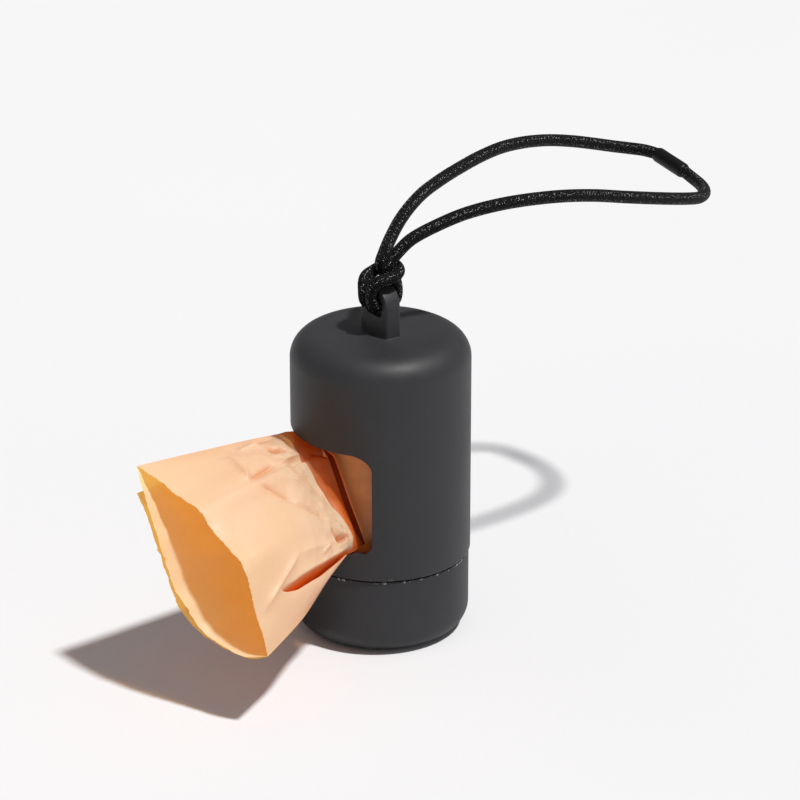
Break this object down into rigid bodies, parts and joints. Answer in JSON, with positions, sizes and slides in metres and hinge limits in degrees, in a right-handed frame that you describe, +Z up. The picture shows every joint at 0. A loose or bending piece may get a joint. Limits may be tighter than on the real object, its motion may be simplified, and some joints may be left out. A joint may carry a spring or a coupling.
{
  "type": "dog waste bag dispenser",
  "caption": "Round dispenser with a twist-off cap and a side window, a bag half pulled from the roll inside, and a cord loop hitched to the lug on top.",
  "frame": {"origin": "middle of the flat underside of the cap", "axes": "+Z up along the casing's axis towards the lug, -Y out of the window, +X to the right as seen facing the window"},
  "size_m": [0.0618, 0.1639, 0.1032],
  "materials": {
    "casing_plastic": "fine soft-touch matte",
    "cap_plastic": "fine soft-touch matte",
    "core_paper": "plain wound paper",
    "wound_film": "thin wrinkled film, wound tight",
    "bag_film": "thin translucent film",
    "elastic_cord": "tight braid with a few pale flecks",
    "shrink_sleeve": "smooth satin"
  },
  "bodies": {
    "casing": {"casing": "casing_plastic", "cord_knot": "elastic_cord"},
    "cap": {"end_cap": "cap_plastic"},
    "roll": {"roll_core": "core_paper", "bag_roll": "wound_film"},
    "bag": {"pulled_bag": "bag_film"},
    "loop": {"cord_loop": "elastic_cord", "cord_sleeve": "shrink_sleeve"}
  },
  "joints": [
    {"name": "cap_twist", "type": "hinge", "parent": "casing", "child": "cap", "pos_m": [0, 0, 0.0197], "axis": [0, 0, -1], "range_deg": [0, 30]},
    {"name": "bag_pull", "type": "slide", "parent": "casing", "child": "bag", "axis": [0, -1, 0], "range_m": [0, 0.02]},
    {"name": "roll_spin", "type": "hinge", "parent": "casing", "child": "roll", "pos_m": [0, 0, 0.0351], "axis": [0, 0, 1], "range_deg": [0, 74]},
    {"name": "loop_swing", "type": "hinge", "parent": "casing", "child": "loop", "pos_m": [0, 0.0029, 0.0916], "axis": [1, 0, 0], "range_deg": [-40, 85]}
  ],
  "couplings": [
    {"joint": "roll_spin", "follows": "bag_pull", "rad_per_m": 64}
  ]
}
